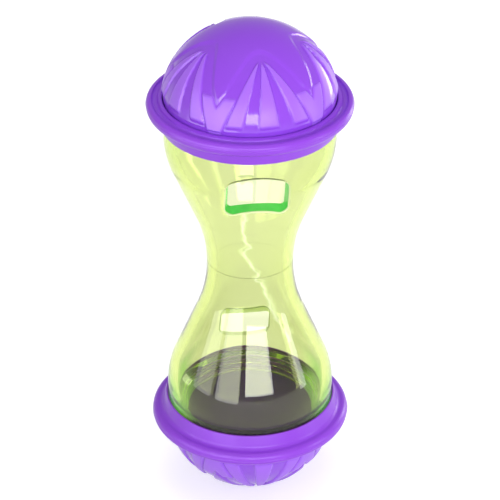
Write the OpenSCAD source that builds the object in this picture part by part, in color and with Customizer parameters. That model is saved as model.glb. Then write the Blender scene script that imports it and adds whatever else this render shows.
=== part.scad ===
// Hourglass treat dispenser: two clear bulbs joined at the waist, a screw-on domed cap at each end.
// Each half is drawn with the waist at z = 0 and its cap upward, then placed above or below the waist.

/* [Bulbs] */
// diameter at the wide end of a bulb
bulb_d = 62.2; // [58:0.1:66]
// outer diameter at the waist
waist_d = 32; // [29:0.1:36]
// radius of the hollow curve at the waist, seen from the side
waist_arc = 52.6; // [42:0.1:60]
// angle of the straight run between the waist and the wide end, from upright
flare = 23.1; // [20:0.1:28]
// height of the shoulder, which carries the neck, above the bulb's widest level
shoulder_rise = 7.5; // [6.5:0.1:10]
// thickness of the clear wall
wall = 3.6; // [2.6:0.1:4.2]

/* [Waist joint] */
// height of the seam above the waist
seam_z = 1.5; // [0.5:0.1:4]
// height of the spigot that locates the upper bulb on the lower one
spigot_h = 6; // [4:0.5:8]
// size of the bevel at the seam
seam_bevel = 0.5; // [0.2:0.1:1]

/* [Slot] */
// width of the arched slot
slot_w = 23.2; // [16:0.1:26]
// height of the slot at its middle
slot_h = 16.9; // [10:0.1:18]
// drop of the slot's middle below the bulb's widest level
slot_drop = 9.6; // [8:0.1:11]
// downward tilt of the slot, square to the wall
slot_tilt = 13; // [6:1:18]
// radius of the slot's upper edge
slot_top_arc = 19; // [16:0.5:40]
// radius of the slot's lower edge
slot_low_arc = 13.5; // [12:0.5:40]
// radius of the slot's upper corners
slot_top_corner = 5; // [2:0.1:6]
// radius of the slot's lower corners
slot_low_corner = 2.6; // [1:0.1:4]

/* [Neck and thread] */
// how far the throat is set in from the bulb's outer face
throat_step = 6.8; // [6.4:0.1:8]
// wall of the neck
neck_wall = 2.7; // [2.2:0.1:3]
// height of the neck above the shoulder
neck_h = 5.3; // [5:0.1:7]
// height of a thread ridge
thread_h = 1; // [0.8:0.1:1.2]
// rise of the thread in one turn
thread_lead = 4.8; // [4.4:0.1:6]
// thread ridges running side by side
thread_starts = 2; // [1:1:2]
// width of a thread ridge at its foot
ridge_base = 1.1; // [0.9:0.1:1.2]
// width of a thread ridge at its crest
ridge_crest = 0.5; // [0.4:0.1:0.7]
// plain height left at each end of a thread
ridge_edge = 0.6; // [0.5:0.1:0.8]

/* [Screw ring] */
// how far the rim stands out past the bulb
rim_overhang = 5.9; // [5.6:0.1:8]
// level of the widest part of the rim above the shoulder
rim_rise = 5.7; // [5.4:0.1:7]
// depth of the collar below the rim's widest level
collar_depth = 8.4; // [7.5:0.1:10]
// thickness of the collar's edge
lip_t = 0.5; // [0.4:0.1:1]
// thickness of the collar where it meets the rim
collar_t = 1.5; // [1.2:0.1:2]
// radius of the hollow corner between collar and rim
collar_fillet = 1.4; // [0.8:0.1:1.6]
// straight height of the rim's outer face
bead_wall = 0.8; // [0.4:0.1:1.2]
// corner radius of the rim on the bulb side
bead_low_r = 2.4; // [1.5:0.1:2.6]
// corner radius of the rim on the dome side
bead_top_r = 1.5; // [1:0.1:2]
// radius of the channel between rim and dome
channel_r = 1.3; // [0.8:0.1:1.5]
// height of the ring's inner ledge above the rim
ledge_h = 0.6; // [0.3:0.1:1]
// width of the ring's inner ledge with its gap
ledge_w = 1.7; // [1.4:0.1:1.9]

/* [Dome] */
// how far the dome's widest part is set in from the rim
dome_inset = 5; // [4.8:0.1:5.4]
// height of the dome above its centre level
dome_h = 30.4; // [27:0.1:32]
// drop of the dome's centre level below the rim's widest level
dome_sink = 0.6; // [0:0.1:1.2]
// how much shorter the side curve's radius is than the dome's height
side_cut = 1.1; // [0.8:0.1:2]
// wall of the dome
dome_wall = 4; // [3.6:0.1:5]
// gap between the ring's ledge and the dome's lower edge
dome_gap = 0.6; // [0.4:0.1:1.2]
// bevel on the dome's lower edge
dome_bevel = 1; // [0.5:0.1:1.5]
// how far the dome's snap flange stands out
flange_w = 1.2; // [0.8:0.1:1.4]
// thickness of the dome's snap flange
flange_t = 0.9; // [0.7:0.1:1.1]
// depth of the dome's foot below its floor plate
foot_depth = 1.3; // [1.1:0.1:1.5]
// fans of flutes round the dome
fan_count = 5; // [3:1:5]
// angle between the pole and the tip of a fan
fan_tip = 30; // [27:1:32]
// angle between a fan's middle line and its deep flutes
flute_inner = 16; // [14:1:18]
// angle between a fan's middle line and its shallow flutes
flute_outer = 38; // [34:1:42]
// depth of the deep flutes at their lower end
flute_depth = 1.2; // [0.6:0.1:1.5]
// depth of the shallow flutes at their lower end
line_depth = 0.5; // [0.3:0.1:0.6]
// diameter of the flat under the lower dome
rest_flat_d = 18; // [10:0.5:20]
// turn of the upper dome in its ring
upper_turn = 7; // [-36:1:36]
// turn of the lower dome in its ring
lower_turn = 32; // [-36:1:36]

/* [Fits] */
// gap between pieces that move on each other
run_gap = 0.3; // [0.2:0.05:0.4]
// radial gap in the thread
thread_gap = 0.4; // [0.3:0.05:0.5]
// glue gap between pieces fixed to each other
glue_gap = 0.05; // [0.02:0.01:0.1]
// thickness of a floor plate
plate_t = 1.8; // [1.2:0.1:3]

/* [Hidden] */
$fn = 120;
eps = 0.01;
// overlap where two curves run into each other
blend = 0.02;
far = 200;
// overshoot of a cut past the face it opens
past = 1;
clear_green = [0.86, 0.91, 0.55, 0.45];
purple = [0.56, 0.32, 0.86];
deep_purple = [0.42, 0.22, 0.66];

bulb_r = bulb_d / 2;
waist_r = waist_d / 2;
rim_r = bulb_r + rim_overhang;
dome_r = rim_r - dome_inset;
throat_r = bulb_r - throat_step;
neck_r = throat_r + neck_wall;

// side curve of a bulb: the waist's arc, a straight run and the round end, without kinks
curve_gap = waist_r + waist_arc;
run_low = [waist_r + waist_arc * (1 - cos(flare)), waist_arc * sin(flare)];
run_len = (bulb_r * cos(flare) - run_low[0]) / sin(flare);
run_top = run_low + run_len * [sin(flare), cos(flare)];
swell_z = run_top[1] + bulb_r * sin(flare);
shoulder_z = swell_z + shoulder_rise;
slot_z = swell_z - slot_drop;
neck_top = shoulder_z + neck_h;

// the throat narrows from the bulb's inner wall at 45 degrees, up to just below the shoulder
throat_z = shoulder_z - run_gap;
funnel_z = throat_z - (bulb_r - wall - throat_r);

spigot_r = waist_r - wall / 2;
spigot_bore = waist_r - wall;

// slot outline: tangent corner circles on an arched band
arc_steps = 12;
// reach of the slot's cut to each side of the wall's face
slot_reach = 3 * wall;
slot_y = sqrt(pow(bulb_r, 2) - pow(swell_z - slot_z, 2));
top_centre = slot_h / 2 - slot_top_arc;
low_centre = -slot_h / 2 - slot_low_arc;
top_corner_x = slot_w / 2 - slot_top_corner;
low_corner_x = slot_w / 2 - slot_low_corner;
top_corner_y = top_centre + sqrt(pow(slot_top_arc - slot_top_corner, 2) - pow(top_corner_x, 2));
low_corner_y = low_centre + sqrt(pow(slot_low_arc + slot_low_corner, 2) - pow(low_corner_x, 2));

// levels of the ring and of the dome's foot in it
rim_z = shoulder_z + rim_rise;
lip_z = rim_z - collar_depth;
socket_r = bulb_r + run_gap;
socket_top = shoulder_z + run_gap;
collar_r = socket_r + collar_t;
bead_low = rim_z - bead_wall - bead_low_r;
bead_top = rim_z + bead_top_r;
ledge_top = bead_top + ledge_h;
channel_x = rim_r - bead_top_r - channel_r - run_gap;
channel_z = bead_top + run_gap;
ledge_r = channel_x - channel_r;
foot_r = ledge_r - ledge_w;
flange_r = foot_r + flange_w;
plate_z = neck_top + run_gap;
plate_top = plate_z + plate_t;
bore_r = neck_r + thread_h + thread_gap;
plate_r = bore_r;
flange_z = plate_z - foot_depth;
seat_z = flange_z - run_gap;
groove_top = flange_z + flange_t + run_gap;

// thread: trapezoid ridges, the ring's ones run midway between the neck's ones
ridge_root = 0.4;
ridge_step = 6;
ring_crest_r = neck_r + thread_gap;
ridge_z = shoulder_z + ridge_edge + ridge_base / 2;
neck_ridge_turn = 360 * (neck_h - 2 * ridge_edge - ridge_base) / thread_lead;
ring_ridge_turn = 360 * (seat_z - ridge_z - ridge_base / 2 - ridge_edge) / thread_lead;
half_pitch_turn = 180 / thread_starts;

// dome outline: a side arc and a flatter crown arc that meet without a kink
dome_z = rim_z - dome_sink;
side_arc = dome_h - side_cut;
side_x = dome_r - side_arc;
crown_arc = (pow(side_x, 2) + pow(dome_h, 2) - pow(side_arc, 2)) / (2 * side_cut);
crown_z = dome_z + dome_h - crown_arc;
crown_angle = atan2(side_x, dome_z - crown_z);
dome_low = ledge_top + dome_gap;
flat_z = crown_z + sqrt(pow(crown_arc, 2) - pow(rest_flat_d / 2, 2));

// flutes: V cuts that start at the fan's tip and deepen downward
flute_start = 6;
flute_end = 44;
flute_slope = 2.2;
flute_tall = 3;
foot_reach = norm([dome_r, dome_z - crown_z]);

waist_z = flat_z;

// puts a half above the waist
module above() {
    translate([0, 0, waist_z]) children();
}

// puts a half below the waist, turned over
module below() {
    translate([0, 0, waist_z]) rotate([180, 0, 0]) children();
}

// rectangle from one corner to the other
module box2(low, high) {
    translate(low) square([high[0] - low[0], high[1] - low[1]]);
}

// side outline of a bulb, a depth t inside its outer face, between two levels
module bulb_area(t, z_from, z_to) {
    out = [cos(flare), -sin(flare)];
    low = run_low - t * out + blend * out;
    top = run_top - t * out - blend * out;
    difference() {
        polygon([[0, z_from], [curve_gap, z_from], [curve_gap, low[1]], low, top, [0, top[1]]]);
        translate([curve_gap, 0]) circle(r = waist_arc + t);
    }
    intersection() {
        translate([0, swell_z]) circle(r = bulb_r - t);
        box2([0, run_low[1]], [bulb_r, swell_z + wall]);
    }
    box2([0, swell_z], [bulb_r - t - blend, z_to]);
}

// side outline of the hollow of a bulb, from past the waist to past the neck
module hollow_area() {
    bulb_area(wall, -spigot_h - seam_z - past, funnel_z);
    polygon([[0, funnel_z], [bulb_r - wall, funnel_z], [throat_r, throat_z], [0, throat_z]]);
    box2([0, throat_z], [throat_r, neck_top + past]);
}

// one helical thread ridge of trapezoid section, given its width at its inner and outer radius
module ridge(r_in, w_in, r_out, w_out, turn) {
    n = ceil(turn / ridge_step);
    section = [[r_in, -w_in / 2], [r_in, w_in / 2], [r_out, w_out / 2], [r_out, -w_out / 2]];
    pts = [for (i = [0:n], p = section) let (a = turn * i / n)
        [p[0] * cos(a), p[0] * sin(a), ridge_z + thread_lead * a / 360 + p[1]]];
    sides = [for (i = [0:n - 1], k = [0:3]) let (a = 4 * i + k, b = 4 * i + (k + 1) % 4)
        each [[a, a + 4, b], [b, a + 4, b + 4]]];
    polyhedron(points = pts, faces = concat([[0, 1, 2], [0, 2, 3]], sides,
        [[4 * n, 4 * n + 2, 4 * n + 1], [4 * n, 4 * n + 3, 4 * n + 2]]));
}

// points along an arc, the first one left out
function arc(centre, r, from, to) = [for (i = [1:arc_steps])
    let (a = from + (to - from) * i / arc_steps) centre + r * [cos(a), sin(a)]];

// arched slot outline with rounded corners, centred on the slot's middle
module slot_outline() {
    top_turn = atan2(top_corner_y - top_centre, top_corner_x);
    low_turn = atan2(low_corner_y - low_centre, low_corner_x);
    polygon(concat(
        arc([low_corner_x, low_corner_y], slot_low_corner, 180 + low_turn, 360),
        arc([top_corner_x, top_corner_y], slot_top_corner, 0, top_turn),
        arc([0, top_centre], slot_top_arc, top_turn, 180 - top_turn),
        arc([-top_corner_x, top_corner_y], slot_top_corner, 180 - top_turn, 180),
        arc([-low_corner_x, low_corner_y], slot_low_corner, 180, 360 - low_turn),
        arc([0, low_centre], slot_low_arc, 180 - low_turn, low_turn)));
}

// cut through the front wall
module slot_cut() {
    translate([0, -slot_y, slot_z])
        rotate([90 + slot_tilt, 0, 0])
            translate([0, 0, -slot_reach]) linear_extrude(height = 2 * slot_reach) slot_outline();
}

// side outline of a bulb and its neck from the seam up, before it is hollowed
module bulb_outside(z_from) {
    bulb_area(0, z_from, shoulder_z);
    box2([0, shoulder_z], [neck_r, neck_top]);
}

module neck_thread() {
    for (i = [0:thread_starts - 1])
        rotate([0, 0, 360 * i / thread_starts])
            ridge(neck_r - ridge_root, ridge_base, neck_r + thread_h, ridge_crest, neck_ridge_turn);
}

module upper_bulb() {
    color(clear_green) above() {
        difference() {
            rotate_extrude() difference() {
                bulb_outside(seam_z);
                hollow_area();
                box2([0, seam_z - past], [spigot_r + glue_gap, seam_z + spigot_h + glue_gap]);
            }
            slot_cut();
        }
        neck_thread();
    }
}

module lower_bulb() {
    color(clear_green) below() {
        difference() {
            rotate_extrude() difference() {
                union() {
                    bulb_outside(-seam_z + glue_gap);
                    box2([0, -seam_z - spigot_h], [spigot_r, 0]);
                }
                hollow_area();
                box2([0, -seam_z - spigot_h - past], [spigot_bore, 0]);
                polygon([[waist_r - seam_bevel, -seam_z], [waist_r + past, -seam_z],
                    [waist_r + past, -seam_z + seam_bevel + past]]);
            }
            slot_cut();
        }
        neck_thread();
    }
}

// side outline of a screw ring before its bore is cut
module ring_outside() {
    polygon([[0, lip_z], [socket_r + lip_t, lip_z], [collar_r, bead_low], [0, bead_low]]);
    difference() {
        box2([collar_r - past, bead_low - collar_fillet], [collar_r + collar_fillet, bead_low + eps]);
        translate([collar_r + collar_fillet, bead_low - collar_fillet]) circle(r = collar_fillet);
    }
    box2([0, bead_low], [rim_r - bead_low_r, rim_z]);
    box2([0, rim_z - bead_wall], [rim_r, rim_z]);
    translate([rim_r - bead_low_r, rim_z - bead_wall]) circle(r = bead_low_r);
    translate([rim_r - bead_top_r, rim_z]) circle(r = bead_top_r);
    difference() {
        union() {
            box2([0, rim_z - eps], [rim_r - bead_top_r, bead_top]);
            box2([0, bead_top - eps], [ledge_r, ledge_top]);
        }
        translate([channel_x, channel_z]) circle(r = channel_r);
    }
}

module screw_ring() {
    rotate_extrude() difference() {
        ring_outside();
        box2([0, lip_z - past], [bore_r, ledge_top + past]);
        box2([0, lip_z - past], [socket_r, socket_top]);
        box2([0, seat_z], [flange_r + run_gap, groove_top]);
        box2([0, seat_z], [foot_r + run_gap, ledge_top + past]);
    }
    for (i = [0:thread_starts - 1])
        rotate([0, 0, 360 * i / thread_starts - half_pitch_turn])
            ridge(ring_crest_r, ridge_crest, bore_r + ridge_root, ridge_base, ring_ridge_turn);
}

module upper_screw_ring() {
    color(purple) above() screw_ring();
}

module lower_screw_ring() {
    color(purple) below() screw_ring();
}

// side outline of the dome, a depth t inside its outer face
module dome_area(t) {
    intersection() {
        translate([side_x, dome_z]) circle(r = side_arc - t);
        box2([0, dome_z - far], [far, dome_z + far]);
    }
    intersection() {
        translate([0, crown_z]) circle(r = crown_arc - t);
        polygon([[0, crown_z], [far * sin(crown_angle), crown_z + far * cos(crown_angle)], [0, crown_z + far]]);
    }
}

// V cut along a great circle from the tip of a fan
module flute(fan, bearing, depth) {
    shift = (crown_arc - foot_reach + depth) / (sin(flute_end) - sin(flute_start));
    r = crown_arc + shift * sin(flute_start);
    translate([0, 0, crown_z]) rotate([0, 0, -90 + 360 * fan / fan_count])
        rotate([0, fan_tip, 0]) rotate([0, 0, bearing - 90]) rotate([0, -90, 0])
            translate([0, -shift, 0])
                rotate_extrude(angle = flute_end)
                    polygon([[r, 0], [r + flute_tall, flute_tall * flute_slope],
                        [r + flute_tall, -flute_tall * flute_slope]]);
}

module dome_shell() {
    difference() {
        rotate_extrude() difference() {
            union() {
                intersection() {
                    dome_area(0);
                    polygon([[0, dome_low], [foot_r, dome_low], [foot_r + dome_bevel, dome_low + dome_bevel],
                        [far, dome_low + dome_bevel], [far, far], [0, far]]);
                }
                box2([0, flange_z], [foot_r, dome_low + eps]);
                box2([0, flange_z], [flange_r, flange_z + flange_t]);
            }
            box2([0, flange_z - past], [plate_r + glue_gap, plate_top]);
            intersection() {
                dome_area(dome_wall);
                box2([0, plate_top - eps], [far, far]);
            }
        }
        for (fan = [0:fan_count - 1], side = [-1, 1]) {
            flute(fan, side * flute_inner, flute_depth);
            flute(fan, side * flute_outer, line_depth);
        }
    }
}

module upper_dome() {
    color(purple) above() rotate([0, 0, upper_turn]) dome_shell();
}

module lower_dome() {
    color(purple) below() rotate([0, 0, lower_turn]) difference() {
        dome_shell();
        translate([0, 0, flat_z]) cylinder(r = rest_flat_d, h = dome_h);
    }
}

module floor_plate() {
    translate([0, 0, plate_z]) cylinder(r = plate_r, h = plate_t - glue_gap);
}

module upper_floor_plate() {
    color(deep_purple) above() floor_plate();
}

module lower_floor_plate() {
    color(deep_purple) below() floor_plate();
}

upper_bulb();
lower_bulb();
upper_screw_ring();
lower_screw_ring();
upper_dome();
lower_dome();
upper_floor_plate();
lower_floor_plate();
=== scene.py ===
"""Looks of the treat dispensing chew toy: clear green bulbs, purple screw rings and fluted domes."""

import math

import bmesh
import bpy
from mathutils import Matrix, Vector


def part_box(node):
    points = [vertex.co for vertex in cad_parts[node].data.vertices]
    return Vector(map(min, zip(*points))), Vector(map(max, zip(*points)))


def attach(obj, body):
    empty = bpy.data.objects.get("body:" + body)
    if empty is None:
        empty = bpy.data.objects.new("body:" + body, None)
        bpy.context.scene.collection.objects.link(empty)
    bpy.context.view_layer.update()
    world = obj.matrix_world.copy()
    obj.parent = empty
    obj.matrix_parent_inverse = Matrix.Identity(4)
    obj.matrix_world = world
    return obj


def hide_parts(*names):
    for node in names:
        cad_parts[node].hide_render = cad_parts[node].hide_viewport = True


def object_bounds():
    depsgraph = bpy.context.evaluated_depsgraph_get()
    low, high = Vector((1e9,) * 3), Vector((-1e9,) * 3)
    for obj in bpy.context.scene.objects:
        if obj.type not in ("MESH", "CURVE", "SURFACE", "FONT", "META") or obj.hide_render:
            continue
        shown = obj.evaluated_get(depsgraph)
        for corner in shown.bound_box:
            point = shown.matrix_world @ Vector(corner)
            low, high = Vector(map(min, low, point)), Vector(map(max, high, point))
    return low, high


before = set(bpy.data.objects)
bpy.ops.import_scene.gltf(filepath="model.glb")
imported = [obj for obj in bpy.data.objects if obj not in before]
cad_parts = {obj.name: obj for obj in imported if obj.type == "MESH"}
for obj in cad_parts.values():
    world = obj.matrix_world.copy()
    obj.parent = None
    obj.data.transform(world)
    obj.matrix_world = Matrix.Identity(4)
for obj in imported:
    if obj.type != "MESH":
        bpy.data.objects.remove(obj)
cad_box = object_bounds()

MM = 0.001

# Fineness of the turned shapes, the radius that counts as on the axis, and the angle of a sharp edge
BULB_SEGMENTS = 240
RING_SEGMENTS = 360
DOME_SEGMENTS = 540
DOME_ROWS = 140
ON_AXIS = 1e-6
SHARP_ANGLE = math.radians(32)

# Bulbs, in millimetres. Each half is drawn with its waist at level 0 and its cap upward.
BULB_R = 31.1
WAIST_R = 16.0
WAIST_ARC = 52.6
FLARE = math.radians(23.1)
SHOULDER_RISE = 7.5
SHOULDER_ROUND = 0.8
WALL = 3.6
SEAM_Z = 1.5
SEAM_BEVEL = 0.08
SEAM_BITE = 0.02  # how far the lower bulb runs into the upper one, so that no gap shows
SEAM_ROW = 0.02
THROAT_R = 24.3
THROAT_ROUND = 0.4
NECK_R = 27.0
NECK_H = 5.3
NECK_ROOT = 0.3
NECK_ROUND = 0.5
NECK_LAND = 1.5
RUN_GAP = 0.3
GLUE_GAP = 0.05

# Where the clear plastic looks deeper in colour and where it carries a painted green glow, and how much
# in each bulb
DEEP_Z = (42.0, 52.0)
DEEP_SLANT = (0.36, 0.64)
SIDE_PAINTED_GLOW_Z = (47.0, 52.0)
SIDE_PAINTED_GLOW_TURN = (0.78, 0.95)
SIDE_PAINTED_GLOW_MARGIN = 1.0
UPPER_TINT_AND_PAINTED_GLOW = 0.2
LOWER_TINT_AND_PAINTED_GLOW = 1.0

# Thread on the neck and in the ring
THREAD_H = 1.0
THREAD_LEAD = 4.8
THREAD_STARTS = 2
NECK_TURN = 225.0
RING_TURN = 127.5
RIDGE_FOOT = 0.55
RIDGE_CREST = 0.25
RIDGE_RISE = 1.15
RIDGE_END = 6.0

# Slot through the wall
SLOT_W = 23.2
SLOT_H = 16.9
SLOT_DROP = 9.6
SLOT_TILT = 13.0
SLOT_TOP_ARC = 19.0
SLOT_LOW_ARC = 13.5
SLOT_TOP_CORNER = 5.0
SLOT_LOW_CORNER = 2.6
SLOT_ROUND = 0.5
SLOT_REACH = 14.0
SLOT_DEPTH = 6.0
SLOT_DRAFT = math.radians(18)
SLOT_SEARCH = 12.0
SEARCH_STEPS = 40
# Height below which the slot's inner faces take the edge material with its painted glow
PAINTED_GLOW_TOP = 2.7

# Painted highlight, a pale glowing streak down the bulbs' front: points of its path, as height and offset
# to the side
STREAK_PATH = ((68.8, 13.1), (72.0, 11.6), (76.5, 9.1), (80.3, 7.1), (83.6, 6.2), (86.6, 4.7), (89.7, 3.6),
             (93.1, 2.9), (95.5, 0.7), (96.9, 1.7), (99.6, -0.5), (103.3, -2.0), (107.1, -3.8),
             (111.2, -2.0), (114.4, -3.7), (119.9, -4.4), (128.7, -4.2))
STREAK_SPAN = 15.0
STREAK_WIDTH = 1.2
STREAK_WANDER = 1.8
STREAK_GRAIN = 260.0

# Screw rings
RIM_R = 37.0
RIM_RISE = 5.7
COLLAR_DEPTH = 8.4
LIP_T = 0.5
LIP_GAP = 0.06
LIP_ROUND = 0.25
COLLAR_T = 1.5
COLLAR_FILLET = 1.9
BEAD_WALL = 0.8
BEAD_LOW_R = 2.4
BEAD_TOP_R = 1.5
CHANNEL_R = 1.3
LEDGE_H = 0.6
LEDGE_ROUND = 0.25
LEDGE_SLOPE = 0.8
PARTING_H = 0.2
PARTING_W = 0.3
PARTING_MEAN = 0.65
PARTING_WAVES = ((0.2, 7, 1.0), (0.15, 19, 0.0))
PARTING_SWAY = 0.1
PARTING_SWAYS = 11
PARTING_REACH = 0.01
BORE_R = 28.4

# Domes
DOME_R = 32.0
DOME_H = 30.4
DOME_SINK = 0.6
SIDE_CUT = 1.1
DOME_WALL = 4.0
DOME_GAP = 0.6
DOME_BEVEL = 1.0
LEDGE_W = 1.7
FLANGE_W = 1.2
FLANGE_T = 0.9
FOOT_DEPTH = 1.3
PLATE_T = 1.8
REST_FLAT_R = 9.0
UPPER_TURN = 7.0
LOWER_TURN = 32.0
POLAR_START = 89.0
POLAR_STEP = 0.05

# Fans on the domes: a sunk arch with raised petals that spread from its tip, angles in degrees
FANS = 5
FAN_STEP = 360.0 / FANS
FAN_TIP = 30.0
FAN_DEPTH = 0.65
ARCH_RISE = 4.4
ARCH_SPREAD = 1.2
ARCH_ROUND = 8.0
ARCH_EDGE = 2.2
ARCH_SWEEP = 0.024
ARCH_SWEEP_FROM = 20.0
PETAL_MIDDLE = 9.0
PETAL_FLANK = (23.6, 37.2)
PETAL_LOBE = 39.0
PETAL_EDGE = 1.3
PETAL_START = (1.5, 7.5)
PETAL_MARGIN = (0.3, 2.5)
PETAL_END = 74.5
LOBE_END = 80.5
LOBE_DROP = 5.0
LOBE_HALF = 11.0
LOBE_TOP = (55.5, 58.5)
END_EDGE = 1.6

# Colours, and how strongly some of them glow
CLEAR_TINT = (0.86, 0.865, 0.92)
DEEP_TINT = (0.12, 0.36, 0.08)
DYE = (0.86, 0.955, 0.04)
DYE_DENSITY = 150.0
CLEAR_IOR = 1.49
# Painted light: green glow on the inside of the bulbs' ends at the toy's sides
SIDE_PAINTED_GREEN = (0.28, 0.62, 0.04)
SIDE_PAINTED_GLOW_STRENGTH = 0.3
# Painted highlight: pale glow of the streak down the bulbs' front
STREAK_PALE = (0.80, 0.75, 0.95)
STREAK_GLOW = 0.3
# Painted light: opaque shades and glows on the slots' cut faces, standing in for the light seen in the
# clear plastic there
PAINTED_PALE_EDGE = ((0.62, 0.72, 0.30), (0.80, 0.88, 0.50))
PAINTED_PALE_EDGE_GLOW = (0.72, 0.84, 0.42)
PAINTED_GREEN_EDGE = ((0.05, 0.45, 0.06), (0.16, 0.66, 0.12))
PAINTED_GREEN_EDGE_GLOW = (0.05, 0.55, 0.07)
# Domes: the rest of the dome, then the petals, whose paler shade is painted light
DOME_PURPLE_PAINTED_PETAL_LIGHT = ((0.26, 0.058, 0.69), (0.34, 0.115, 0.79))
RING_PURPLE = ((0.24, 0.042, 0.63), (0.275, 0.055, 0.68))
# Floor plates: the domes' purple plastic drawn several times darker, as painted shade for their place
# inside the bulbs
PLATE_PURPLE_PAINTED_SHADE = ((0.055, 0.013, 0.20), (0.07, 0.018, 0.25))

# Studio
HORIZON_LIGHT = 0.6
ZENITH_LIGHT = 0.42
FLOOR_HALF = 3.0
FLOOR_DROP = 0.0002
FLOOR_WHITE = 0.7
FLOOR_SEEN = 0.54

# Camera that matches the photograph
CAMERA_AZIMUTH = -5.5
CAMERA_ELEVATION = 31.0
CAMERA_DISTANCE = 0.9096
CAMERA_RISE = 4.008
CAMERA_LENS = 178.0
CAMERA_SENSOR = 36.0

# Levels that follow from the sizes above
CURVE_GAP = WAIST_R + WAIST_ARC
RUN_LOW = (CURVE_GAP - WAIST_ARC * math.cos(FLARE), WAIST_ARC * math.sin(FLARE))
RUN_LEN = (BULB_R * math.cos(FLARE) - RUN_LOW[0]) / math.sin(FLARE)
RUN_TOP_Z = RUN_LOW[1] + RUN_LEN * math.cos(FLARE)
SWELL_Z = RUN_TOP_Z + BULB_R * math.sin(FLARE)
SHOULDER_Z = SWELL_Z + SHOULDER_RISE
THROAT_Z = SHOULDER_Z - RUN_GAP
NECK_TOP = SHOULDER_Z + NECK_H
RIDGE_Z = SHOULDER_Z + RIDGE_RISE
SLOT_Z = SWELL_Z - SLOT_DROP
RIM_Z = SHOULDER_Z + RIM_RISE
LIP_Z = RIM_Z - COLLAR_DEPTH
SOCKET_R = BULB_R + RUN_GAP
SOCKET_TOP = SHOULDER_Z + RUN_GAP
COLLAR_R = SOCKET_R + COLLAR_T
BEAD_LOW = RIM_Z - BEAD_WALL - BEAD_LOW_R
BEAD_TOP = RIM_Z + BEAD_TOP_R
LEDGE_TOP = BEAD_TOP + LEDGE_H
CHANNEL_X = RIM_R - BEAD_TOP_R - CHANNEL_R - RUN_GAP
CHANNEL_Z = BEAD_TOP + RUN_GAP
LEDGE_R = CHANNEL_X - CHANNEL_R
FOOT_R = LEDGE_R - LEDGE_W
FLANGE_R = FOOT_R + FLANGE_W
PLATE_TOP = NECK_TOP + RUN_GAP + PLATE_T
FLANGE_Z = NECK_TOP + RUN_GAP - FOOT_DEPTH
SEAT_Z = FLANGE_Z - RUN_GAP
GROOVE_TOP = FLANGE_Z + FLANGE_T + RUN_GAP
DOME_Z = RIM_Z - DOME_SINK
SIDE_ARC = DOME_H - SIDE_CUT
SIDE_X = DOME_R - SIDE_ARC
CROWN_ARC = (SIDE_X ** 2 + DOME_H ** 2 - SIDE_ARC ** 2) / (2 * SIDE_CUT)
CROWN_Z = DOME_Z + DOME_H - CROWN_ARC
CROWN_ANGLE = math.atan2(SIDE_X, DOME_Z - CROWN_Z)
DOME_LOW = LEDGE_TOP + DOME_GAP

WAIST_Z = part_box("upper_bulb")[0].z / MM - SEAM_Z
TARGET = Vector((0, 0, (WAIST_Z + CAMERA_RISE) * MM))
ABOVE = Matrix.Translation((0, 0, WAIST_Z))
BELOW = ABOVE @ Matrix.Rotation(math.pi, 4, "X")


# Small helpers

def spread(start, end, steps):
    """Evenly spaced values from start to end, both kept."""
    return [start + (end - start) * i / steps for i in range(steps + 1)]


def smooth(value, low, high):
    """0 below low, 1 above high, and a soft ramp between them."""
    t = min(max((value - low) / (high - low), 0.0), 1.0)
    return t * t * (3 - 2 * t)


def step_at(value, edge, half_width):
    """Soft step from 0 to 1, centred on an edge."""
    return smooth(value, edge - half_width, edge + half_width)


def arc_points(centre, radius, start, end, steps):
    """Points along an arc, with angles in degrees from the first axis."""
    turns = [math.radians(a) for a in spread(start, end, steps)]
    return [(centre[0] + radius * math.cos(t), centre[1] + radius * math.sin(t)) for t in turns]


def line_points(start, end, steps):
    """Points along a straight line, both ends kept."""
    return list(zip(spread(start[0], end[0], steps), spread(start[1], end[1], steps)))


def new_object(name, data):
    """Links a new object that holds a mesh, a lamp or a camera."""
    holder = bpy.data.objects.new(name, data)
    bpy.context.scene.collection.objects.link(holder)
    return holder


def mesh_object(name, mesh):
    """Turns a finished bmesh into a linked object, with its faces turned outward."""
    bmesh.ops.recalc_face_normals(mesh, faces=mesh.faces)
    data = bpy.data.meshes.new(name)
    mesh.to_mesh(data)
    mesh.free()
    return new_object(name, data)


def lathe(name, profile, segments, bend=None):
    """Closed solid turned round Z from a closed outline of (radius, level) points.

    bend(index, angle) may give another (radius, level) for a point at an angle in degrees.
    A point on the axis becomes one vertex."""
    mesh = bmesh.new()
    rows = []
    for i, (r, z) in enumerate(profile):
        if r < ON_AXIS:
            rows.append([mesh.verts.new((0, 0, z))])
            continue
        row = []
        for angle in spread(0.0, 360.0, segments)[:-1]:
            pr, pz = bend(i, angle) if bend else (r, z)
            turn = math.radians(angle)
            row.append(mesh.verts.new((pr * math.cos(turn), pr * math.sin(turn), pz)))
        rows.append(row)
    for row, after in zip(rows, rows[1:] + rows[:1]):
        if len(row) == 1 and len(after) == 1:
            continue
        for j in range(segments):
            k = (j + 1) % segments
            corners = [row[j % len(row)], row[k % len(row)], after[k % len(after)], after[j % len(after)]]
            mesh.faces.new(list(dict.fromkeys(corners)))
    return mesh_object(name, mesh)


def seat(piece, matrix, node, body):
    """Moves a piece from its half's frame into the part's frame and lets it stand for a CAD node."""
    piece.data.transform(Matrix.Scale(MM, 4) @ matrix)
    piece.data.shade_smooth()
    piece.data.set_sharp_from_angle(angle=SHARP_ANGLE)
    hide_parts(node)
    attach(piece, body)


# Bulbs

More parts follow.
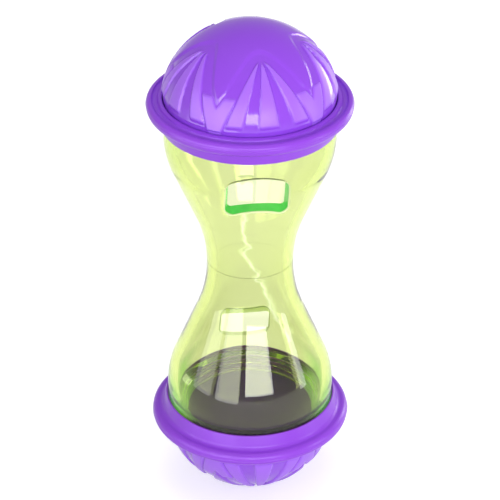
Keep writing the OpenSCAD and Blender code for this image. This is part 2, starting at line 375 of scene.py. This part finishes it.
def wall_curve(depth, z_from):
    """Side curve of a bulb's wall, a depth inside its outer face, from a level up to the widest part."""
    waist = WAIST_ARC + depth
    swell = BULB_R - depth
    start = math.asin(z_from / waist)
    low = [(CURVE_GAP - waist * math.cos(a), waist * math.sin(a)) for a in spread(start, FLARE, 26)]
    top = [(swell * math.cos(a), SWELL_Z - swell * math.sin(a)) for a in spread(FLARE, 0.0, 22)]
    return low + line_points(low[-1], top[0], 14)[1:-1] + top


def outer_radius(z):
    """Outer radius of a bulb at a level up to its widest part."""
    if z < RUN_LOW[1]:
        return CURVE_GAP - math.sqrt(WAIST_ARC ** 2 - z * z)
    if z < RUN_TOP_Z:
        return RUN_LOW[0] + (z - RUN_LOW[1]) * math.tan(FLARE)
    return math.sqrt(BULB_R ** 2 - (SWELL_Z - z) ** 2)


def bulb_profile(z_from):
    """Closed outline of a bulb from its seam to its neck, and the indices of the neck's outer face."""
    outer = wall_curve(0.0, z_from + SEAM_BEVEL)
    edge_r = outer[0][0] - SEAM_BEVEL
    outer = [(edge_r, z_from), (edge_r + SEAM_ROW, z_from + SEAM_ROW)] + outer
    corner = arc_points((BULB_R - SHOULDER_ROUND, SHOULDER_Z - SHOULDER_ROUND), SHOULDER_ROUND, 0, 90, 6)
    root = [(NECK_R + NECK_ROOT, SHOULDER_Z)]
    neck = [(NECK_R, z) for z in spread(SHOULDER_Z + NECK_ROOT, NECK_TOP - NECK_ROUND, 44)]
    crest = arc_points((NECK_R - NECK_ROUND, NECK_TOP - NECK_ROUND), NECK_ROUND, 15, 90, 4)
    throat = arc_points((THROAT_R + THROAT_ROUND, NECK_TOP - THROAT_ROUND), THROAT_ROUND, 90, 180, 4)
    throat += [(THROAT_R, z) for z in spread(NECK_TOP - NECK_LAND, THROAT_Z, 6)]
    inner = wall_curve(WALL, z_from + SEAM_ROW)
    inner.insert(0, (inner[0][0], z_from))
    inner_r = BULB_R - WALL
    funnel = [(inner_r, THROAT_Z - (inner_r - THROAT_R))]
    first = len(outer) + len(corner) + len(root)
    points = outer + corner + root + neck + crest + throat + funnel + inner[::-1]
    return points, range(first, first + len(neck))


def thread_height(angle, z, turn):
    """How far a thread stands out at an angle in degrees and a level, for ridges of a turn in degrees."""
    height = 0.0
    for start in range(THREAD_STARTS):
        a = (angle - 360.0 * start / THREAD_STARTS) % 360.0
        if a > turn:
            continue
        dz = abs(z - RIDGE_Z - THREAD_LEAD * a / 360.0)
        rise = min(max((RIDGE_FOOT - dz) / (RIDGE_FOOT - RIDGE_CREST), 0.0), 1.0)
        ends = smooth(a, 0, RIDGE_END) * (1 - smooth(a, turn - RIDGE_END, turn))
        height = max(height, THREAD_H * rise * ends)
    return height


def slot_outline():
    """Arched slot outline with rounded corners, as (across, up) points with their outward directions."""
    top_centre = SLOT_H / 2 - SLOT_TOP_ARC
    low_centre = -SLOT_H / 2 - SLOT_LOW_ARC
    top_x = SLOT_W / 2 - SLOT_TOP_CORNER
    low_x = SLOT_W / 2 - SLOT_LOW_CORNER
    top_y = top_centre + math.sqrt((SLOT_TOP_ARC - SLOT_TOP_CORNER) ** 2 - top_x ** 2)
    low_y = low_centre + math.sqrt((SLOT_LOW_ARC + SLOT_LOW_CORNER) ** 2 - low_x ** 2)
    top_turn = math.degrees(math.atan2(top_y - top_centre, top_x))
    low_turn = math.degrees(math.atan2(low_y - low_centre, low_x))
    points = arc_points((low_x, low_y), SLOT_LOW_CORNER, 180 + low_turn, 360, 10)
    points += line_points((SLOT_W / 2, low_y), (SLOT_W / 2, top_y), 8)[1:-1]
    points += arc_points((top_x, top_y), SLOT_TOP_CORNER, 0, top_turn, 12)
    points += arc_points((0, top_centre), SLOT_TOP_ARC, top_turn, 180 - top_turn, 22)[1:]
    points += arc_points((-top_x, top_y), SLOT_TOP_CORNER, 180 - top_turn, 180, 12)[1:]
    points += line_points((-SLOT_W / 2, top_y), (-SLOT_W / 2, low_y), 8)[1:-1]
    points += arc_points((-low_x, low_y), SLOT_LOW_CORNER, 180, 360 - low_turn, 10)
    points += arc_points((0, low_centre), SLOT_LOW_ARC, 180 - low_turn, low_turn, 22)[1:-1]
    outline = []
    for i, point in enumerate(points):
        before, after = points[i - 1], points[(i + 1) % len(points)]
        along = Vector((after[0] - before[0], after[1] - before[1])).normalized()
        outline.append((Vector(point), Vector((along.y, -along.x))))
    return outline


def slot_point(across, up, out):
    """Place in a half's frame of a point of the slot, with out measured along the slot's axis."""
    tilt = math.radians(90 + SLOT_TILT)
    slot_y = math.sqrt(BULB_R ** 2 - SLOT_DROP ** 2)
    return Vector((across,
                   -slot_y + up * math.cos(tilt) - out * math.sin(tilt),
                   SLOT_Z + up * math.sin(tilt) + out * math.cos(tilt)))


def wall_distance(across, up):
    """How far along the slot's axis the bulb's outer face is met."""
    low, high = -SLOT_SEARCH, SLOT_SEARCH
    for _ in range(SEARCH_STEPS):
        mid = (low + high) / 2
        p = slot_point(across, up, mid)
        if math.hypot(p.x, p.y) < outer_radius(p.z):
            low = mid
        else:
            high = mid
    return low


def slot_rings():
    """Steps of the slot's cut from inside to outside.

    Each is the growth of the slot's outline, and the distance out from the bulb's face."""
    turns = [math.radians(a) for a in spread(0, 84, 6)]
    rings = [(-SLOT_ROUND - SLOT_DEPTH * math.tan(SLOT_DRAFT), -SLOT_DEPTH)]
    rings += [(-SLOT_ROUND * math.cos(a), SLOT_ROUND * (math.sin(a) - 1)) for a in turns]
    return rings + [(SLOT_ROUND, SLOT_ROUND), (SLOT_ROUND, SLOT_REACH)]


def slot_cutter(clear, rim, edge):
    """Solid that cuts the slot, with its outer edge rounded to follow the bulb's face.

    The edge material, with its painted glow, goes on the slot's floor and sides,
    the rim material, whose pale shade is a painted highlight, on its top and outer edge."""
    rim_index, edge_index = 1, 2
    mesh = bmesh.new()
    outline = slot_outline()
    faces_out = [wall_distance(*point) for point, _ in outline]
    rings = []
    for grow, off_face in slot_rings():
        ring = []
        for (point, outward), face in zip(outline, faces_out):
            p = point + outward * grow
            ring.append(mesh.verts.new(slot_point(p.x, p.y, face + off_face)))
        rings.append(ring)
    count = len(outline)
    for level, (lower, upper) in enumerate(zip(rings, rings[1:])):
        for j in range(count):
            k = (j + 1) % count
            side = mesh.faces.new((lower[j], lower[k], upper[k], upper[j]))
            # Low inner faces take the edge material with its painted glow; the rest take the rim's pale
            # painted highlight
            gets_painted_glow = level == 0 and outline[j][0].y < PAINTED_GLOW_TOP
            side.material_index = edge_index if gets_painted_glow else rim_index
    mesh.faces.new(rings[0])
    mesh.faces.new(rings[-1])
    cutter = mesh_object("slot_cutter", mesh)
    for material in (clear, rim, edge):
        cutter.data.materials.append(material)
    return cutter


def cut(piece, cutter):
    """Cuts one solid out of another and deletes the cutter."""
    step = piece.modifiers.new("cut", "BOOLEAN")
    step.operation = "DIFFERENCE"
    step.solver = "EXACT"
    step.material_mode = "TRANSFER"
    step.object = cutter
    scene_state = bpy.context.evaluated_depsgraph_get()
    cut_mesh = bpy.data.meshes.new_from_object(piece.evaluated_get(scene_state))
    piece.modifiers.clear()
    piece.data = cut_mesh
    bpy.data.objects.remove(cutter)


def mark_bulb(piece, z_from, depth):
    """Marks what the clear plastic needs to know of a point of a bulb.

    That is the glued seam face, which is left unseen, the end by the cap, which looks deeper in colour,
    and the inside of that end at the toy's two sides, which carries a painted green glow."""
    seam, deep, glow = (piece.data.attributes.new(name, "FLOAT", "POINT").data
                        for name in ("seam", "deep", "side_painted_glow"))
    inner_r = BULB_R - WALL + SEAM_ROW
    for i, vertex in enumerate(piece.data.vertices):
        x, y, z = vertex.co
        r = math.hypot(x, y)
        seam[i].value = 1.0 if z < z_from + SEAM_ROW / 2 else 0.0
        deep[i].value = depth * smooth(z, *DEEP_Z)
        if r < inner_r and z < NECK_TOP - SIDE_PAINTED_GLOW_MARGIN:
            glow[i].value = depth * smooth(z, *SIDE_PAINTED_GLOW_Z) * smooth(abs(x) / r, *SIDE_PAINTED_GLOW_TURN)


def make_bulb(node, z_from, matrix, clear, rim, edge, depth):
    """One clear bulb with its threaded neck and slot.

    Depth, from 0 to 1, is how deep in colour its end by the cap looks and how strong its painted side
    glow is."""
    profile, neck = bulb_profile(z_from)

    def threaded(i, angle):
        r, z = profile[i]
        return (r + thread_height(angle, z, NECK_TURN), z) if i in neck else (r, z)

    piece = lathe(node + "_clear", profile, BULB_SEGMENTS, threaded)
    piece.data.materials.append(clear)
    cut(piece, slot_cutter(clear, rim, edge))
    mark_bulb(piece, z_from, depth)
    seat(piece, matrix, node, "bulbs")


# Screw rings

def ring_profile():
    """Closed outline of a screw ring, from its lip round its outside, and the indices of its bore."""
    slope = math.degrees(math.atan2(COLLAR_R - SOCKET_R - LIP_T, BEAD_LOW - LIP_Z))
    lip_in, lip_out = BULB_R + LIP_GAP + LIP_ROUND, SOCKET_R + LIP_T - LIP_ROUND
    lip = arc_points((lip_in, LIP_Z + LIP_ROUND), LIP_ROUND, 180, 270, 4)
    lip += arc_points((lip_out, LIP_Z + LIP_ROUND), LIP_ROUND, 270, 360 - slope, 4)
    fillet_centre = (COLLAR_R + COLLAR_FILLET, BEAD_LOW - COLLAR_FILLET)
    fillet = arc_points(fillet_centre, COLLAR_FILLET, 180 - slope, 90, 8)
    low = arc_points((RIM_R - BEAD_LOW_R, RIM_Z - BEAD_WALL), BEAD_LOW_R, -90, 0, 12)
    wall = line_points(low[-1], (RIM_R, RIM_Z), 12)[1:-1]
    top = arc_points((RIM_R - BEAD_TOP_R, RIM_Z), BEAD_TOP_R, 0, 90, 10)
    drop = math.degrees(math.asin(RUN_GAP / CHANNEL_R))
    channel = arc_points((CHANNEL_X, CHANNEL_Z), CHANNEL_R, -drop, -180, 14)
    ledge_in = FOOT_R + RUN_GAP
    ledge = [(LEDGE_R - LEDGE_SLOPE, LEDGE_TOP)]
    ledge += arc_points((ledge_in + LEDGE_ROUND, LEDGE_TOP - LEDGE_ROUND), LEDGE_ROUND, 90, 180, 4)
    groove = [(ledge_in, GROOVE_TOP), (FLANGE_R + RUN_GAP, GROOVE_TOP), (FLANGE_R + RUN_GAP, SEAT_Z)]
    bore = line_points((BORE_R, SEAT_Z), (BORE_R, SOCKET_TOP), 30)
    socket = [(SOCKET_R, SOCKET_TOP), (SOCKET_R, LIP_Z + COLLAR_T)]
    before = lip + fillet + low + wall + top + channel + ledge + groove
    return before + bore + socket, range(len(before), len(before) + len(bore))


def parting_line(angle, z):
    """Height of the thin uneven ridge that the mould leaves round the rim."""
    turn = math.radians(angle)
    waves = (size * math.sin(count * turn + shift) for size, count, shift in PARTING_WAVES)
    uneven = PARTING_MEAN + sum(waves)
    off = abs(z - RIM_Z + BEAD_WALL / 2 + PARTING_SWAY * math.sin(PARTING_SWAYS * turn))
    return PARTING_H * uneven * (1 - smooth(off, 0.0, PARTING_W))


def make_ring(node, body, matrix, material):
    """One screw ring with its rolled rim, the mould's parting line and a threaded bore."""
    profile, bore = ring_profile()

    def moulded(i, angle):
        r, z = profile[i]
        if i in bore:
            return r - thread_height(angle + 180.0 / THREAD_STARTS, z, RING_TURN), z
        return (r + parting_line(angle, z), z) if r > RIM_R - PARTING_REACH else (r, z)

    piece = lathe(node + "_rolled", profile, RING_SEGMENTS, moulded)
    piece.data.materials.append(material)
    seat(piece, matrix, node, body)


# Domes

def dome_outside(polar):
    """(radius, level) on the dome's smooth outer face, at an angle in degrees from the pole."""
    a = math.radians(polar)
    if a <= CROWN_ANGLE:
        return CROWN_ARC * math.sin(a), CROWN_Z + CROWN_ARC * math.cos(a)
    along = SIDE_X * math.sin(a) + (DOME_Z - CROWN_Z) * math.cos(a)
    off = SIDE_X ** 2 + (DOME_Z - CROWN_Z) ** 2 - SIDE_ARC ** 2
    reach = along + math.sqrt(along * along - off)
    return reach * math.sin(a), CROWN_Z + reach * math.cos(a)


def fan_shape(polar, azimuth):
    """Sunk depth in millimetres of a point of the dome, and 0 to 1 for how far it lies on a petal.

    Azimuth 0 is the middle of a fan."""
    side = (azimuth + FAN_STEP / 2) % FAN_STEP - FAN_STEP / 2
    a, s, tip = (math.radians(v) for v in (polar, side, FAN_TIP))
    forward, across, up = math.sin(a) * math.cos(s), math.sin(a) * math.sin(s), math.cos(a)
    down = forward * math.cos(tip) - up * math.sin(tip)
    reach = math.degrees(math.acos(min(1.0, forward * math.sin(tip) + up * math.cos(tip))))
    turn = math.atan2(abs(across), down)
    off_middle = reach * math.sin(turn)
    sweep = ARCH_SWEEP * max(0.0, off_middle - ARCH_SWEEP_FROM) ** 2
    inside = (reach * math.cos(turn) + ARCH_RISE + ARCH_ROUND
              - math.hypot(ARCH_SPREAD * off_middle, ARCH_ROUND) + sweep)
    bearing = math.degrees(turn)
    middle = 1 - step_at(bearing, PETAL_MIDDLE, PETAL_EDGE)
    flank = step_at(bearing, PETAL_FLANK[0], PETAL_EDGE) - step_at(bearing, PETAL_FLANK[1], PETAL_EDGE)
    lobe = step_at(bearing, PETAL_LOBE, PETAL_EDGE) * smooth(polar, *LOBE_TOP)
    lobe_end = LOBE_END - LOBE_DROP * ((FAN_STEP / 2 - abs(side)) / LOBE_HALF) ** 2
    petal = max(max(middle, flank) * (1 - step_at(polar, PETAL_END, END_EDGE)),
                lobe * (1 - step_at(polar, lobe_end, END_EDGE)))
    petal *= smooth(inside, *PETAL_MARGIN) * smooth(reach, *PETAL_START)
    return FAN_DEPTH * step_at(inside, 0.0, ARCH_EDGE) * (1 - petal), petal


def dome_profile(flat):
    """Closed outline of a dome from the pole outward, with the polar angle of each outer point."""
    bevel_top = DOME_LOW + DOME_BEVEL
    last = POLAR_START
    while dome_outside(last)[1] < bevel_top:
        last -= POLAR_STEP
    first = math.degrees(math.asin(REST_FLAT_R / CROWN_ARC)) if flat else 0.0
    polars = [p for p in spread(0.0, last, DOME_ROWS) if p > first]
    outer = [dome_outside(p) for p in polars]
    top = CROWN_Z + math.sqrt(CROWN_ARC ** 2 - REST_FLAT_R ** 2) if flat else CROWN_Z + CROWN_ARC
    start = [(0.0, top)] + ([(REST_FLAT_R, top)] if flat else [])
    plate_hole = BORE_R + GLUE_GAP
    foot = [(FOOT_R, DOME_LOW), (FOOT_R, FLANGE_Z + FLANGE_T), (FLANGE_R, FLANGE_Z + FLANGE_T),
            (FLANGE_R, FLANGE_Z), (plate_hole, FLANGE_Z), (plate_hole, PLATE_TOP)]
    inner_arc = SIDE_ARC - DOME_WALL
    low_turn = math.asin((PLATE_TOP - DOME_Z) / inner_arc)
    inner = [(SIDE_X + inner_arc * math.cos(t), DOME_Z + inner_arc * math.sin(t))
             for t in spread(low_turn, math.pi / 2 - CROWN_ANGLE, 12)]
    crown = CROWN_ARC - DOME_WALL
    inner += [(crown * math.sin(t), CROWN_Z + crown * math.cos(t))
              for t in spread(CROWN_ANGLE, 0.0, 12)[1:-1]]
    points = start + outer + foot + inner + [(0.0, CROWN_Z + crown)]
    return points, {len(start) + i: p for i, p in enumerate(polars)}


def mark_petals(piece, turn):
    """Stores on each point of a dome how far it lies on a petal, for the material."""
    marks = piece.data.attributes.new("petal", "FLOAT", "POINT")
    for vertex, mark in zip(piece.data.vertices, marks.data):
        x, y, z = vertex.co
        polar = math.degrees(math.atan2(math.hypot(x, y), z - CROWN_Z))
        mark.value = fan_shape(polar, math.degrees(math.atan2(y, x)) - turn + 90)[1]


def make_dome(node, body, matrix, turn, flat, material):
    """One dome with its fans of petals and its snap foot, turned in its ring."""
    profile, polar_of = dome_profile(flat)

    def fluted(i, angle):
        r, z = profile[i]
        if i not in polar_of:
            return r, z
        depth, _ = fan_shape(polar_of[i], angle - turn + 90)
        a = math.radians(polar_of[i])
        return r - depth * math.sin(a), z - depth * math.cos(a)

    piece = lathe(node + "_fluted", profile, DOME_SEGMENTS, fluted)
    piece.data.materials.append(material)
    mark_petals(piece, turn)
    seat(piece, matrix, node, body)


# Materials

def new_material(name):
    """A node material with its nodes, its links and its shader."""
    material = bpy.data.materials.new(name)
    material.use_nodes = True
    nodes = material.node_tree.nodes
    return material, nodes, material.node_tree.links, nodes["Principled BSDF"]


def add_noise(nodes, links, scale, detail):
    """Noise over the object's own coordinates."""
    place_node = nodes.new("ShaderNodeTexCoord")
    noise = nodes.new("ShaderNodeTexNoise")
    noise.inputs["Scale"].default_value = scale
    noise.inputs["Detail"].default_value = detail
    links.new(place_node.outputs["Object"], noise.inputs["Vector"])
    return noise.outputs["Fac"]


def add_range(nodes, links, source, low, high):
    """Maps a 0 to 1 value to a range."""
    ramp = nodes.new("ShaderNodeMapRange")
    ramp.inputs["To Min"].default_value = low
    ramp.inputs["To Max"].default_value = high
    links.new(source, ramp.inputs["Value"])
    return ramp.outputs["Result"]


def add_attribute(nodes, name):
    """A value stored on the mesh's points."""
    node = nodes.new("ShaderNodeAttribute")
    node.attribute_name = name
    return node.outputs["Fac"]


def add_math(nodes, links, operation, first, second):
    """Joins two values, or a value and a plain number."""
    node = nodes.new("ShaderNodeMath")
    node.operation = operation
    for value, socket in ((first, node.inputs[0]), (second, node.inputs[1])):
        if isinstance(value, float):
            socket.default_value = value
        else:
            links.new(value, socket)
    return node.outputs["Value"]


def add_curve(nodes, links, source, points):
    """Value of a line through points, whose places run from 0 to 1 both ways."""
    node = nodes.new("ShaderNodeFloatCurve")
    curve = node.mapping.curves[0]
    curve.points[0].location, curve.points[-1].location = points[0], points[-1]
    for place in points[1:-1]:
        curve.points.new(*place)
    node.mapping.update()
    links.new(source, node.inputs["Value"])
    return node.outputs["Value"]


def add_bump(nodes, links, shader, source, strength, distance):
    """Fine relief on a shader."""
    bump = nodes.new("ShaderNodeBump")
    bump.inputs["Strength"].default_value = strength
    bump.inputs["Distance"].default_value = distance
    links.new(source, bump.inputs["Height"])
    links.new(bump.outputs["Normal"], shader.inputs["Normal"])


def add_blend(nodes, links, source, low, high):
    """Colour between two shades, by a 0 to 1 value."""
    mix = nodes.new("ShaderNodeMix")
    mix.data_type = "RGBA"
    colours = [socket for socket in mix.inputs if socket.type == "RGBA"]
    colours[0].default_value = (*low, 1)
    colours[1].default_value = (*high, 1)
    links.new(source, mix.inputs["Factor"])
    return next(socket for socket in mix.outputs if socket.type == "RGBA")


def painted_streak_line(nodes, links):
    """1 on the uneven streak of painted highlight down the bulbs' front, and 0 away from it."""
    place = nodes.new("ShaderNodeSeparateXYZ")
    links.new(nodes.new("ShaderNodeTexCoord").outputs["Object"], place.inputs["Vector"])
    side, front, height = (place.outputs[axis] for axis in "XYZ")
    low, high = STREAK_PATH[0][0], STREAK_PATH[-1][0]
    rise = add_math(nodes, links, "SUBTRACT", height, low * MM)
    along = add_math(nodes, links, "DIVIDE", rise, (high - low) * MM)
    points = [((z - low) / (high - low), 0.5 + x / STREAK_SPAN / 2) for z, x in STREAK_PATH]
    curve = add_curve(nodes, links, along, points)
    path = add_range(nodes, links, curve, -STREAK_SPAN * MM, STREAK_SPAN * MM)
    grain = add_noise(nodes, links, STREAK_GRAIN, 2.0)
    wander = add_range(nodes, links, grain, -STREAK_WANDER * MM, STREAK_WANDER * MM)
    middle = add_math(nodes, links, "ADD", path, wander)
    off = add_math(nodes, links, "ABSOLUTE", add_math(nodes, links, "SUBTRACT", side, middle), 0.0)
    near = add_math(nodes, links, "SUBTRACT", 1.0, add_math(nodes, links, "DIVIDE", off, STREAK_WIDTH * MM))
    strip = add_math(nodes, links, "MAXIMUM", near, 0.0)
    ends = add_math(nodes, links, "MULTIPLY", add_math(nodes, links, "GREATER_THAN", along, 0.0),
                    add_math(nodes, links, "LESS_THAN", along, 1.0))
    in_front = add_math(nodes, links, "MULTIPLY", ends, add_math(nodes, links, "LESS_THAN", front, 0.0))
    return add_math(nodes, links, "MULTIPLY", strip, in_front)


def glancing(nodes, links):
    """1 where the clear wall is seen at a slant, so it looks deeper in colour, and 0 where square on."""
    layer = nodes.new("ShaderNodeLayerWeight")
    layer.inputs["Blend"].default_value = 0.5
    ramp = nodes.new("ShaderNodeMapRange")
    ramp.interpolation_type = "SMOOTHSTEP"
    ramp.inputs["From Min"].default_value, ramp.inputs["From Max"].default_value = DEEP_SLANT
    links.new(layer.outputs["Facing"], ramp.inputs["Value"])
    return ramp.outputs["Result"]


def clear_plastic():
    """Clear yellow-green plastic, deeper in colour where it is thick, with painted light:
    a green glow at the sides and a pale glowing streak down the front.
    """
    material, nodes, links, shader = new_material("clear_green_plastic")
    shader.inputs["Transmission Weight"].default_value = 1.0
    shader.inputs["IOR"].default_value = CLEAR_IOR
    haze = add_noise(nodes, links, 60.0, 3.0)
    links.new(add_range(nodes, links, haze, 0.0, 0.03), shader.inputs["Roughness"])
    wave = add_noise(nodes, links, 35.0, 1.0)
    add_bump(nodes, links, shader, wave, 0.12, 0.0012)
    seam = add_attribute(nodes, "seam")
    links.new(add_range(nodes, links, seam, 1.0, 0.0), shader.inputs["Alpha"])
    deep = add_math(nodes, links, "MULTIPLY", add_attribute(nodes, "deep"), glancing(nodes, links))
    links.new(add_blend(nodes, links, deep, CLEAR_TINT, DEEP_TINT), shader.inputs["Base Color"])
    # Painted light: green glow on the inside of the bulbs' ends at the toy's sides
    sides = add_range(nodes, links, add_attribute(nodes, "side_painted_glow"), 0.0, SIDE_PAINTED_GLOW_STRENGTH)
    # Painted highlight: a pale glowing streak down the bulbs' front
    streak = painted_streak_line(nodes, links)
    pale = add_range(nodes, links, streak, 0.0, STREAK_GLOW)
    links.new(add_blend(nodes, links, streak, SIDE_PAINTED_GREEN, STREAK_PALE), shader.inputs["Emission Color"])
    links.new(add_math(nodes, links, "MAXIMUM", sides, pale), shader.inputs["Emission Strength"])
    volume = nodes.new("ShaderNodeVolumeAbsorption")
    volume.inputs["Color"].default_value = (*DYE, 1)
    volume.inputs["Density"].default_value = DYE_DENSITY
    links.new(volume.outputs["Volume"], nodes["Material Output"].inputs["Volume"])
    return material


def slot_material(name, shades, grain, roughness, painted_glow_shade, glow):
    """Cut face of a slot, drawn opaque in a given shade with a painted glow; both stand in for the light
    seen in the cut clear plastic.
    """
    material, nodes, links, shader = new_material(name)
    mottle = add_noise(nodes, links, grain, 2.0)
    links.new(add_blend(nodes, links, mottle, *shades), shader.inputs["Base Color"])
    shader.inputs["Roughness"].default_value = roughness
    shader.inputs["Emission Color"].default_value = (*painted_glow_shade, 1)
    shader.inputs["Emission Strength"].default_value = glow
    return material


def moulded_purple(name, shades, roughness, coat):
    """Moulded purple plastic with a faint mottle and a fine skin."""
    material, nodes, links, shader = new_material(name)
    mottle = add_noise(nodes, links, 28.0, 4.0)
    links.new(add_blend(nodes, links, mottle, *shades), shader.inputs["Base Color"])
    skin = add_noise(nodes, links, 900.0, 2.0)
    links.new(add_range(nodes, links, skin, roughness * 0.8, roughness * 1.2), shader.inputs["Roughness"])
    add_bump(nodes, links, shader, skin, 0.04, 0.0002)
    shader.inputs["Specular IOR Level"].default_value = 0.35
    shader.inputs["Coat Weight"].default_value = coat
    shader.inputs["Coat Roughness"].default_value = 0.08
    return material


def petal_purple(name, shades, polished, frosted):
    """Purple plastic of the domes: polished, with softer petals that are coloured paler than the rest as
    painted light.
    """
    material, nodes, links, shader = new_material(name)
    on_petal = add_attribute(nodes, "petal")
    # Painted light: petals are coloured paler than the rest of the dome
    links.new(add_blend(nodes, links, on_petal, *shades), shader.inputs["Base Color"])
    skin = add_range(nodes, links, add_noise(nodes, links, 700.0, 2.0), 0.85, 1.15)
    rough = add_range(nodes, links, on_petal, polished, frosted)
    links.new(add_math(nodes, links, "MULTIPLY", rough, skin), shader.inputs["Roughness"])
    add_bump(nodes, links, shader, add_noise(nodes, links, 45.0, 1.0), 0.05, 0.001)
    return material


# Studio

def seen_strength(nodes, links, plain, seen):
    """One strength for rays that carry a surface's light, and another for rays that look at it."""
    path = nodes.new("ShaderNodeLightPath")
    straight = add_math(nodes, links, "ADD", path.outputs["Is Camera Ray"], path.outputs["Is Glossy Ray"])
    looks = add_math(nodes, links, "ADD", straight, path.outputs["Is Transmission Ray"])
    return add_range(nodes, links, looks, plain, seen)


def make_world(horizon, zenith):
    """Plain surroundings, paler at the horizon than overhead."""
    world = bpy.data.worlds.new("studio")
    bpy.context.scene.world = world
    world.use_nodes = True
    nodes, links = world.node_tree.nodes, world.node_tree.links
    direction = nodes.new("ShaderNodeTexCoord")
    split = nodes.new("ShaderNodeSeparateXYZ")
    links.new(direction.outputs["Generated"], split.inputs["Vector"])
    background = nodes["Background"]
    background.inputs["Color"].default_value = (1, 1, 1, 1)
    links.new(add_range(nodes, links, split.outputs["Z"], horizon, zenith), background.inputs["Strength"])


def make_floor():
    """Wide white floor that keeps a soft shadow."""
    mesh = bmesh.new()
    bmesh.ops.create_grid(mesh, x_segments=1, y_segments=1, size=FLOOR_HALF)
    floor = mesh_object("floor", mesh)
    floor.location.z = cad_box[0][2] - FLOOR_DROP
    material, nodes, links, shader = new_material("floor_white")
    shader.inputs["Base Color"].default_value = (FLOOR_WHITE, FLOOR_WHITE, FLOOR_WHITE, 1)
    shader.inputs["Roughness"].default_value = 0.9
    shader.inputs["Specular IOR Level"].default_value = 0.0
    shader.inputs["Emission Color"].default_value = (1, 1, 1, 1)
    links.new(seen_strength(nodes, links, 0.0, FLOOR_SEEN), shader.inputs["Emission Strength"])
    floor.data.materials.append(material)


def aim_from(holder, azimuth, elevation, distance):
    """Puts an object at an angle round the toy, looking at the camera's target."""
    a, e = math.radians(azimuth), math.radians(elevation)
    away = Vector((math.sin(a) * math.cos(e), -math.cos(a) * math.cos(e), math.sin(e)))
    holder.location = TARGET + away * distance
    holder.rotation_euler = (-away).to_track_quat("-Z", "Y").to_euler()


def add_softbox(name, azimuth, elevation, distance, width, height, power, shines=True, fills=True):
    """Rectangular lamp that faces the toy's middle; azimuth is measured from the camera, to its right.

    A lamp that shines is seen in glossy and clear surfaces, and one that fills lights plain surfaces."""
    lamp = bpy.data.lights.new(name, "AREA")
    lamp.shape = "RECTANGLE"
    lamp.size, lamp.size_y = width, height
    lamp.energy = power
    holder = new_object(name, lamp)
    holder.visible_diffuse = fills
    holder.visible_glossy = holder.visible_transmission = shines
    aim_from(holder, azimuth + CAMERA_AZIMUTH, elevation, distance)


def make_camera():
    """Camera at the photograph's angle."""
    lens = bpy.data.cameras.new("camera")
    lens.lens = CAMERA_LENS
    lens.sensor_width = CAMERA_SENSOR
    holder = new_object("camera", lens)
    aim_from(holder, CAMERA_AZIMUTH, CAMERA_ELEVATION, CAMERA_DISTANCE)
    bpy.context.scene.camera = holder


def dress(node, material):
    """Gives a CAD node a finished material."""
    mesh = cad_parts[node].data
    mesh.materials.clear()
    mesh.materials.append(material)


# The toy

clear = clear_plastic()
# Slot faces: the rim's pale shade is a painted highlight, and the edge materials carry a painted glow
rim = slot_material("slot_rim_painted_highlight", PAINTED_PALE_EDGE, 120.0, 0.3, PAINTED_PALE_EDGE_GLOW, 0.0)
lower_edge_painted_glow = slot_material("lower_slot_edge_painted_glow", PAINTED_PALE_EDGE, 120.0, 0.3, PAINTED_PALE_EDGE_GLOW, 0.6)
upper_edge_painted_glow = slot_material("upper_slot_edge_painted_glow", PAINTED_GREEN_EDGE, 180.0, 0.25, PAINTED_GREEN_EDGE_GLOW, 0.25)
dome_purple = petal_purple("dome_purple_gloss", DOME_PURPLE_PAINTED_PETAL_LIGHT, 0.12, 0.38)
ring_purple = moulded_purple("ring_purple_satin", RING_PURPLE, 0.34, 0.04)
# The floor plates' dark purple is painted shade
plate_purple_painted_shade = moulded_purple("plate_purple_matt_painted_shade", PLATE_PURPLE_PAINTED_SHADE, 0.4, 0.0)

make_bulb("upper_bulb", SEAM_Z, ABOVE, clear, rim, upper_edge_painted_glow, UPPER_TINT_AND_PAINTED_GLOW)
make_bulb("lower_bulb", -SEAM_Z - SEAM_BITE, BELOW, clear, rim, lower_edge_painted_glow, LOWER_TINT_AND_PAINTED_GLOW)
make_ring("upper_screw_ring", "upper_ring", ABOVE, ring_purple)
make_ring("lower_screw_ring", "lower_ring", BELOW, ring_purple)
make_dome("upper_dome", "upper_cap", ABOVE, UPPER_TURN, False, dome_purple)
make_dome("lower_dome", "lower_cap", BELOW, LOWER_TURN, True, dome_purple)
dress("upper_floor_plate", plate_purple_painted_shade)
dress("lower_floor_plate", plate_purple_painted_shade)

# Lights and camera. Lamps are given by azimuth, elevation, distance, width, height and power.

make_world(HORIZON_LIGHT, ZENITH_LIGHT)
make_floor()
add_softbox("front_box", 13, 12, 1.2, 0.85, 0.30, 7.6)
add_softbox("left_box", -31, 10, 0.45, 0.26, 0.34, 1.3, fills=False)
add_softbox("left_fill", -31, 25, 0.6, 0.3, 0.3, 0.5, shines=False)
add_softbox("top_fill", 0, 88, 1.0, 0.8, 0.8, 3.5, shines=False)
add_softbox("far_left_box", -68, 9, 0.5, 0.26, 0.34, 0.9, fills=False)
add_softbox("right_box", 76, 6, 0.6, 0.12, 0.30, 0.7)
add_softbox("back_box", 131, 6, 0.6, 0.12, 0.30, 0.8)
make_camera()
bpy.context.scene.view_settings.view_transform = "Standard"
bpy.context.scene.cycles.transmission_bounces = 24
bpy.context.scene.cycles.max_bounces = 32
